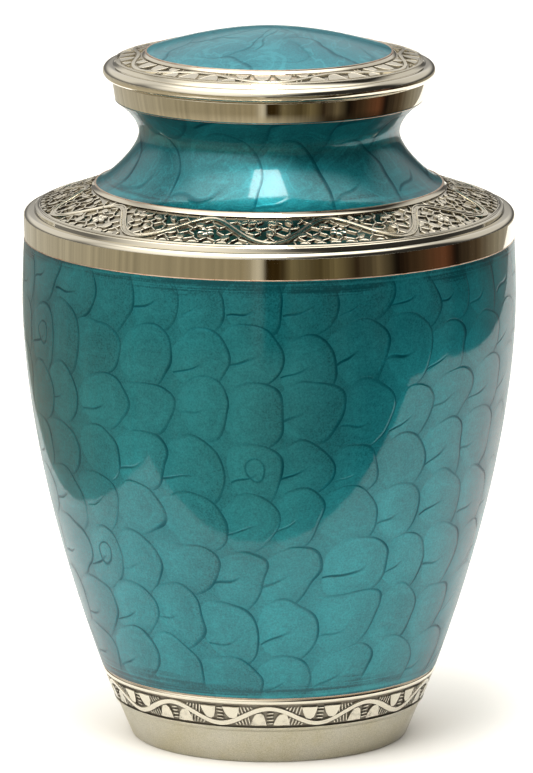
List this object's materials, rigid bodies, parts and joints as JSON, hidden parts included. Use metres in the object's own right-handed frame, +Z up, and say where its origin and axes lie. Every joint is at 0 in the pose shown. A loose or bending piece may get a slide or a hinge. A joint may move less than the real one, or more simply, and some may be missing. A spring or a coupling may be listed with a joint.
{
  "type": "funeral urn",
  "caption": "Hollow enamelled brass funeral urn on a plain foot, with engraved nickel rings and a domed lid that lifts off.",
  "frame": {"origin": "centre of the underside, on the surface it stands on", "axes": "+Z up along the axis that the urn is turned about"},
  "size_m": [0.1798, 0.1798, 0.2611],
  "materials": {
    "vessel": "glossy pearl teal enamel on brass, with nickel-plated rings",
    "lid": "polished warm nickel plate on brass, with a teal enamel dome"
  },
  "bodies": {
    "root": {"vessel": "vessel", "lid": "lid"}
  },
  "joints": []
}
